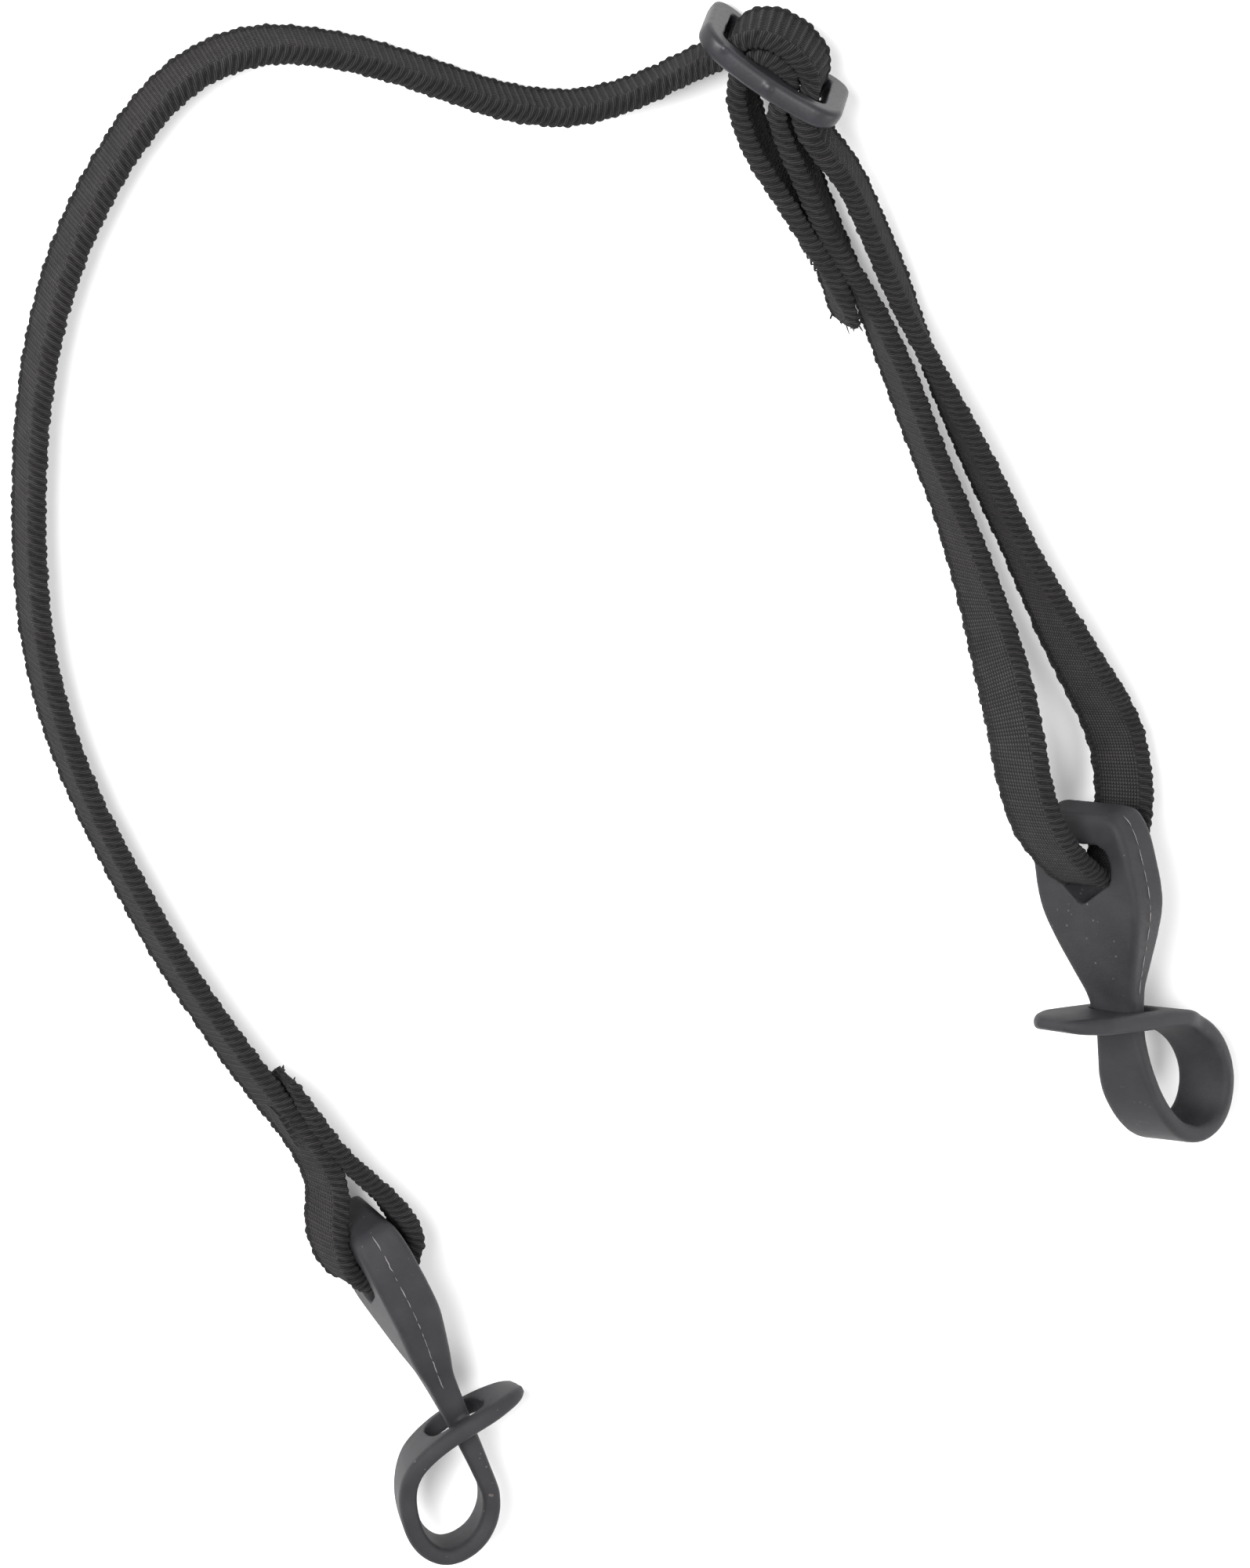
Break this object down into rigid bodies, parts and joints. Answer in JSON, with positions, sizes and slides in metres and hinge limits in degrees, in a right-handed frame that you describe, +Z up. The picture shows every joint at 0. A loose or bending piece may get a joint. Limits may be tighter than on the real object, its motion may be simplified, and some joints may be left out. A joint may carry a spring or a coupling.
{
  "type": "eyeglass retainer strap",
  "caption": "Elastic webbing eyeglass retainer with a three-bar slider and moulded rubber noose grips for the temple tips.",
  "frame": {"origin": "under the middle of the laid-out strap, on the surface it lies on", "axes": "+Z up from that surface; +Y from the temple grips towards the slider; +X from the stitched end towards the adjustable end"},
  "size_m": [0.1517, 0.1982, 0.0223],
  "materials": {
    "webbing": "woven, matte",
    "core": "matte",
    "thread": "matte",
    "slider": "satin moulded",
    "grip": "matte moulded"
  },
  "bodies": {
    "strap": {"strap_left_loop": "webbing", "strap_arch": "webbing", "strap_main_run": "webbing", "strap_right_turn": "webbing", "strap_return_run": "webbing", "elastic_core_left_loop": "core", "elastic_core_arch": "core", "elastic_core_main_run": "core", "elastic_core_right_turn": "core", "elastic_core_return_run": "core", "left_loop_stitching": "thread"},
    "slider": {"slider_frame": "slider", "strap_slider_crossing": "webbing", "strap_anchor_loop": "webbing", "elastic_core_slider_crossing": "core", "elastic_core_anchor_loop": "core", "slider_loop_stitching": "thread"},
    "left_grip": {"left_temple_grip": "grip"},
    "right_grip": {"right_temple_grip": "grip"}
  },
  "joints": [
    {"name": "slider_slide", "type": "slide", "parent": "strap", "child": "slider", "axis": [0.4239, -0.9057, 0], "range_m": [-0.012, 0.03], "deforming": ["strap_main_run", "strap_return_run", "elastic_core_main_run", "elastic_core_return_run"]},
    {"name": "left_grip_swing", "type": "hinge", "parent": "strap", "child": "left_grip", "pos_m": [-0.0376, -0.05115, 0.0081], "axis": [0.1759, 0.0739, 0.9816], "range_deg": [-75, 75]},
    {"name": "right_grip_swing", "type": "hinge", "parent": "strap", "child": "right_grip", "pos_m": [0.0542, -0.0054, 0.0098], "axis": [0.5823, 0.1738, 0.7942], "range_deg": [-60, 30]}
  ]
}
